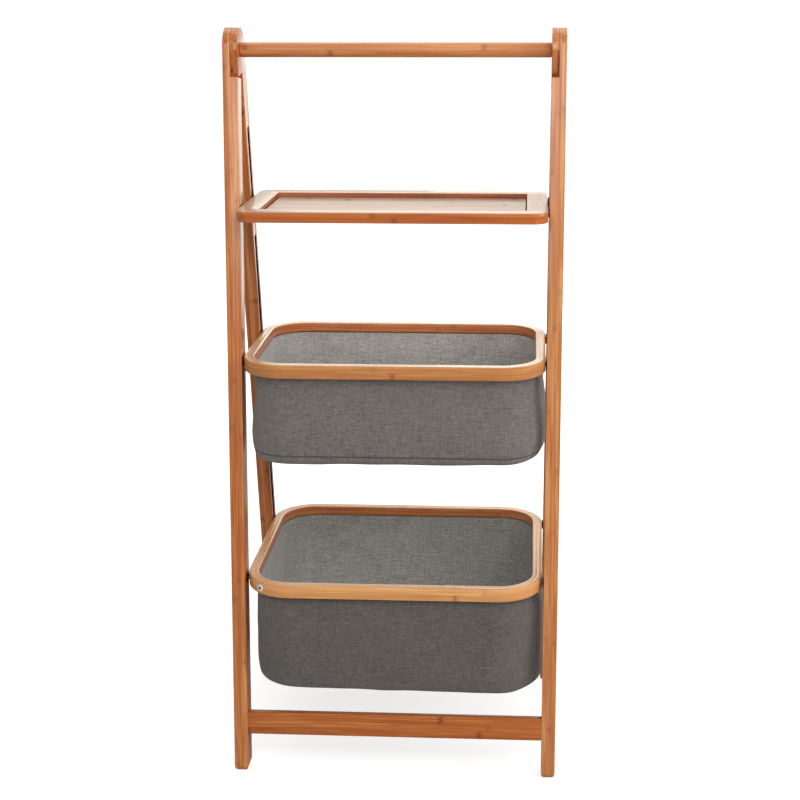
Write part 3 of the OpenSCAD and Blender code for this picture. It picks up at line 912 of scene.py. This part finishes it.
def hoop(name, low, high, radius, thick, ease_out, ease_in):
    """A bent hoop: a rounded block with its middle taken out and its edges eased."""
    ring = block(name, low, high)
    edit(ring, "EDGE", lambda edge: runs_along(edge, 2))
    bpy.ops.mesh.bevel(offset=radius, segments=20, affect="EDGES")
    edit(ring, "FACE", lambda face: abs(face.normal.z) > 0.9)
    bpy.ops.mesh.inset(thickness=thick, depth=0)
    edit(ring, "FACE", lambda face: abs(face.normal.z) > 0.9 and len(face.verts) > 8)
    bpy.ops.mesh.bridge_edge_loops()
    face_outwards(ring)
    outline = Loop(low, high, radius)
    for outer, ease in ((True, ease_out), (False, ease_in)):
        edit(ring, "EDGE", lambda edge: not runs_along(edge, 2) and
             all((outline.inward(end) < thick / 2) == outer for end in edge_ends(edge)))
        bpy.ops.mesh.bevel(offset=ease, segments=3, affect="EDGES")
    put_down()
    return ring


def hoop_grain(loop, low, seed):
    def place(point, middle):
        return Vector((point.z - low.z + 0.0001, loop.inward(point) + 0.0004,
                       loop.near(point, middle) + seed))
    return place


def smoothstep(low, high, value):
    """A soft step from 0 at low to 1 at high, which may be the smaller."""
    t = min(max((value - low) / (high - low), 0), 1)
    return t * t * (3 - 2 * t)


foot_turn = {"upper": 0.008, "lower": 0.015}  # the canvas's rounding into its base
# how far the canvas stands out from its straight line, from its foot up to the hoop
hang_line = {
    "upper": ((0.0, -0.0005), (0.06, 0.0018), (0.16, 0.0046), (0.28, 0.0052), (0.42, 0.0036),
              (0.58, 0.0004), (0.72, -0.0018), (0.84, -0.0024), (0.93, -0.0008), (1.0, 0.0)),
    "lower": ((0.0, -0.0005), (0.10, 0.0036), (0.20, 0.0048), (0.34, 0.0044), (0.55, 0.0034),
              (0.78, 0.0020), (0.92, 0.0006), (1.0, 0.0))}
# how much further the right side stands out, and between which shares of its depth it does so
full_side = {"upper": (0.0100, 0.08, 0.42), "lower": (0.0128, 0.0, 0.28)}
# how far the foot sags below its straight line, at its left and at its right
sag = {"upper": (0.0052, 0.0024), "lower": (0.0002, 0.0048)}


def along_line(points, at):
    """A smooth value between the points of a line."""
    for (a, value_a), (b, value_b) in zip(points, points[1:]):
        if at <= b:
            return value_a + (value_b - value_a) * smoothstep(a, b, at)
    return points[-1][1]


def basket_shell(tier, low, high, radius):
    """The hanging canvas: a tall rounded block, open above, with its foot turned in."""
    turn = foot_turn[tier]
    shell = block(tier + "_basket_canvas", low, high)
    edit(shell, "EDGE", lambda edge: runs_along(edge, 2))
    bpy.ops.mesh.bevel(offset=radius, segments=12, affect="EDGES")
    edit(shell, "FACE", lambda face: face.normal.z > 0.9)
    bpy.ops.mesh.delete(type="FACE")
    edit(shell, "EDGE", lambda edge: all(end.z < low.z + nearly for end in edge_ends(edge)))
    bpy.ops.mesh.bevel(offset=turn, segments=6, affect="EDGES")
    edit(shell, "EDGE", lambda edge: runs_along(edge, 0) and edge.calc_length() > 0.1)
    bpy.ops.mesh.subdivide(number_cuts=34)
    edit(shell, "EDGE", lambda edge: runs_along(edge, 1) and edge.calc_length() > 0.1)
    bpy.ops.mesh.subdivide(number_cuts=22)
    edit(shell, "EDGE", lambda edge: runs_along(edge, 2) and edge.calc_length() > 0.05)
    bpy.ops.mesh.subdivide(number_cuts=16)
    edit(shell, "FACE", lambda face: face.normal.z < -0.9 and len(face.verts) > 8)
    bpy.ops.mesh.poke()
    put_down()
    return shell


def shape_cloth(shell, tier, low, high, loop):
    """Lets the canvas hang: pinched under the hoop, full lower down, creased at the corners."""
    mesh = shell.data
    centre = Vector(((low.x + high.x) / 2, (low.y + high.y) / 2, 0))
    tall = high.z - low.z
    seed = Vector((3.1, 0, 0)) if tier == "upper" else Vector((11.7, 0, 0))
    full, full_from, full_to = full_side[tier]
    left_sag, right_sag = sag[tier]
    fold_depth, crease_depth = 0.0016, 0.0006
    base_sag, base_ripple = 0.0025, 0.0012
    leg_room = 0.0006
    mesh.update()
    normals = [vertex.normal.copy() for vertex in mesh.vertices]
    for vertex, normal in zip(mesh.vertices, normals):
        point = vertex.co
        up = (point.z - low.z) / tall
        s = loop.along(point)
        side = Vector((normal.x, normal.y, 0))
        hold = smoothstep(1.0, 0.86, up)
        fold = noise.noise(Vector((s * 9, point.z * 5, 0)) + seed)
        crease = noise.noise(Vector((s * 30 + point.z * 18, point.z * 34, 2)) + seed)
        out = along_line(hang_line[tier], up) + (fold_depth * fold + crease_depth * crease) * hold
        back = (point.y - low.y) / (high.y - low.y)
        out += (full * smoothstep(0.5, 1.0, normal.x) * smoothstep(1.0, 0.8, up) *
                smoothstep(full_from, full_to, back) * smoothstep(1.0, 0.7, back))
        if side.length > 0.2:
            point += side.normalized() * out * side.length
            point.x = min(point.x, leg_in - leg_room)
        across = min(max((point.x - low.x) / (high.x - low.x), 0), 1)
        point.z -= (left_sag + (right_sag - left_sag) * across) * smoothstep(1.0, 0.0, up)
        if normal.z < -0.5:
            middle = (point - centre).xy.length
            point.z -= base_sag * (1 - smoothstep(0.03, 0.14, middle)) - 0.0005
            point.z += base_ripple * noise.noise(Vector((point.x * 20, point.y * 20, 4)) + seed)
    mesh.update()


def lay_cloth(shell, loop, low):
    """The canvas's UV map in metres: round the basket and up it, or flat on its base."""
    mesh = shell.data
    layer = mesh.uv_layers.new(name="cloth")
    for face in mesh.polygons:
        flat = abs(face.normal.z) > 0.8
        for corner in face.loop_indices:
            point = mesh.vertices[mesh.loops[corner].vertex_index].co
            if flat:
                layer.data[corner].uv = (point.x + 2.0, point.y + 3.0)
            else:
                layer.data[corner].uv = (loop.near(point, face.center), point.z - low.z)


lip = 0.0005  # how far each hoop covers the cut edge of the canvas between them
shell_inset = 0.0115  # from the outer hoop's outside in to the hanging canvas
shell_in_hoop = 0.004  # how far the canvas reaches up behind the outer hoop
for tier, seed in (("upper", 0.35), ("lower", 1.62)):
    radius = corner_radius[tier]
    low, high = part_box(tier + "_outer_hoop")
    outer = hoop(tier + "_outer_hoop_wood", low, high, radius, hoop_thick + lip, 0.0016, 0.0001)
    lay_grain(smooth(outer), hoop_grain(Loop(low, high, radius), low, seed))
    # the hoop's level top takes the paler finish: a painted highlight
    finish(painted_highlight_top(outer), wood[tier + " hoop bamboo"], wood[tier + " hoop top bamboo"])
    hand_over(outer, basket_body[tier], "bamboo_hoops", tier + "_outer_hoop")

    in_low, in_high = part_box(tier + "_inner_hoop")
    in_radius = radius - hoop_thick - cloth_room
    wider = Vector((lip, lip, 0))
    inner = hoop(tier + "_inner_hoop_wood", in_low - wider, in_high + wider, in_radius + lip,
                 inner_hoop_thick + lip, 0.0001, 0.0014)
    lay_grain(smooth(inner), hoop_grain(Loop(in_low, in_high, in_radius), in_low, seed + 5))
    finish(painted_highlight_top(inner), wood["inner hoop bamboo"], wood[tier + " hoop top bamboo"])
    hand_over(inner, basket_body[tier], "bamboo_inner_hoops", tier + "_inner_hoop")

    bag_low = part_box(tier + "_bag")[0]
    shell_low = Vector((low.x + shell_inset, low.y + shell_inset, bag_low.z))
    shell_high = Vector((high.x - shell_inset, high.y - shell_inset, low.z + shell_in_hoop))
    shell_loop = Loop(shell_low, shell_high, radius - shell_inset)
    shell = basket_shell(tier, shell_low, shell_high, radius - shell_inset)
    shape_cloth(shell, tier, shell_low, shell_high, shell_loop)
    finish(shell, canvas[tier], lining[tier])
    finish_with(shell, "SUBSURF", levels=1, render_levels=1)
    finish_with(shell, "SOLIDIFY", thickness=0.0012, offset=-1, material_offset=1)
    lay_cloth(smooth(shell, 60), shell_loop, shell_low)
    hand_over(shell, basket_body[tier], "grey_fabric", tier + "_bag")
    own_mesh(shell)

# ---- fasteners ------------------------------------------------------------------------

# the screw on the lower hoop's front left corner: a low button head with a hexagon socket, whose
# floor and walls take the dark nylon finish as painted shade, made at the origin along X, then set
# on the corner's arc
low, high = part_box("lower_outer_hoop")
arc = corner_radius["lower"]
corner = Vector((low.x + arc, low.y + arc, (low.z + high.z) / 2))
screw_low, screw_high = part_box("lower_hoop_screw")
outward = (screw_low + screw_high) / 2 - corner
head_from, head_to = arc - 0.0001, arc + 0.0016
head_width, head_edge, shank_radius = 0.010, 0.0007, 0.0020
socket_width, socket_deep = 0.0046, 0.0013
screw = dowel("lower_hoop_screw_steel", head_width, head_from, head_to, 0, 0, 40)
ease_edges(screw, head_edge)
cut_out(screw, dowel("cutter", socket_width, head_to - socket_deep, head_to + overshoot, 0, 0, 6))
edit(screw, "FACE", lambda face: face.normal.x < -0.9 and len(face.verts) > 8)
bpy.ops.mesh.inset(thickness=head_width / 2 - head_edge - shank_radius, depth=0)
bpy.ops.mesh.extrude_region_move(TRANSFORM_OT_translate={"value": (-hoop_thick, 0, 0)})
put_down()
# the socket's floor and walls take the dark finish: painted shade in the hollow
for face in screw.data.polygons:
    in_shaded_socket = head_to - socket_deep - nearly < face.center.x < head_to - 0.0003
    if in_shaded_socket and face.center.yz.length < socket_width / 2:
        face.material_index = 1
screw.location = corner
screw.rotation_euler = (0, 0, math.atan2(outward.y, outward.x))
settle(screw)
hand_over(finish(smooth(screw), zinc, nylon), "lower_basket", "steel_fasteners", "lower_hoop_screw")

for material, nodes in (
        (dowel_wood, ("front_crossbar_dowels", "rear_crossbar_dowels", "shelf_dowels")),
        (steel, ("rail_end_screws", "front_crossbar_screws", "rear_crossbar_screws",
                 "shelf_pivot_bolts", "upper_pivot_bolts", "lower_pivot_bolts",
                 "shelf_slide_pins", "upper_slide_pins", "lower_slide_pins")),
        (nylon, ("shelf_spacers", "upper_spacers", "lower_spacers",
                 "shelf_slide_glides", "upper_slide_glides", "lower_slide_glides"))):
    for node in nodes:
        frame["nodes"][node].data.materials.clear()
        frame["nodes"][node].data.materials.append(material)

# ---- studio ---------------------------------------------------------------------------


def floor_finish():
    """Pale paint that glows to white away from the rack, so that only its shadow shows."""
    material, n, shader = new_finish("studio floor")
    place = n.add("ShaderNodeTexCoord").outputs["Object"]
    mottle = n.cloud(place, 3.0, 2.0, 0.5)
    n.wire(shader.inputs["Base Color"],
           n.mix(mottle, colour(203, 203, 202), colour(208, 208, 207)))
    shader.inputs["Roughness"].default_value = 0.9
    shader.inputs["Specular IOR Level"].default_value = 0.0
    shader.inputs["Emission Color"].default_value = (1, 1, 1, 1)
    path = n.add("ShaderNodeLightPath").outputs
    away = n.add("ShaderNodeVectorMath", operation="LENGTH")
    n.wire(away.inputs[0], place)
    glow = n.rise(away.outputs["Value"], 0.4, 1.6, 0.70, 0.97)
    n.wire(shader.inputs["Emission Strength"], n.maths("MULTIPLY", path["Is Camera Ray"], glow))
    return material


put_down()
bpy.ops.mesh.primitive_plane_add(size=40, location=(0, 0, 0))
floor = bpy.context.object
floor.name = "studio_floor"
settle(floor)
floor.data.materials.append(floor_finish())
floor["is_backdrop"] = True

scene = bpy.context.scene
scene.view_settings.view_transform = "Standard"
world = bpy.data.worlds.new("studio") if scene.world is None else scene.world
scene.world = world
warm_light = (1.0, 0.94, 0.85)
world.use_nodes = True
sky = Nodes(world.node_tree)
world.node_tree.nodes.clear()
path = sky.add("ShaderNodeLightPath")
seen = sky.maths("MAXIMUM", path.outputs["Is Camera Ray"], path.outputs["Is Glossy Ray"])
fill = 0.32  # the sky's light on the rack; it looks fully white itself
strength = sky.maths("MULTIPLY_ADD", seen, 1 - fill, fill)
background = sky.add("ShaderNodeBackground")
sky.wire(background.inputs["Color"], sky.mix(path.outputs["Is Glossy Ray"], (1, 1, 1, 1),
                                             (*warm_light, 1)))
sky.wire(background.inputs["Strength"], strength)
sky.wire(sky.add("ShaderNodeOutputWorld").inputs["Surface"], background.outputs[0])


def softbox(name, place, aim, size, power, tint=(1, 1, 1)):
    """A rectangular lamp that the camera doesn't see."""
    lamp_data = bpy.data.lights.new(name, "AREA")
    lamp_data.shape = "RECTANGLE"
    lamp_data.size, lamp_data.size_y = size
    lamp_data.energy = power
    lamp_data.color = tint
    lamp = bpy.data.objects.new(name, lamp_data)
    scene.collection.objects.link(lamp)
    lamp.location = place
    lamp.rotation_euler = (Vector(aim) - Vector(place)).to_track_quat("-Z", "Y").to_euler()
    lamp.visible_camera = False


softbox("key_softbox", (0.45, -2.4, 2.1), (0, 0, 0.7), (2.8, 1.6), 48)
softbox("side_softbox", (2.3, -0.7, 1.5), (0, 0, 0.7), (1.4, 1.6), 24)
softbox("high_back_softbox", (0.4, 3.0, 1.8), (0.2, 0, 0.6), (2.3, 0.85), 11, warm_light)
softbox("low_back_softbox", (0.45, 3.0, 0.5), (0, 0, 0.6), (1.2, 0.9), 7, warm_light)
softbox("top_softbox", (0, 0.9, 2.6), (0, 0, 0.5), (2.4, 1.2), 16)

camera_data = bpy.data.cameras.new("camera")
camera = bpy.data.objects.new("camera", camera_data)
scene.collection.objects.link(camera)
camera.location = (0.18043, -2.00689, 1.06807)
camera.rotation_euler = (math.radians(72.920), math.radians(0.118), math.radians(3.107))
camera_data.sensor_width = 36
camera_data.lens = 67.30
camera_data.shift_x = -0.0625
camera_data.shift_y = 0.0400
camera_data.clip_start = 0.05
scene.camera = camera

# ---- done -----------------------------------------------------------------------------

put_down()
low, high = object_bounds()
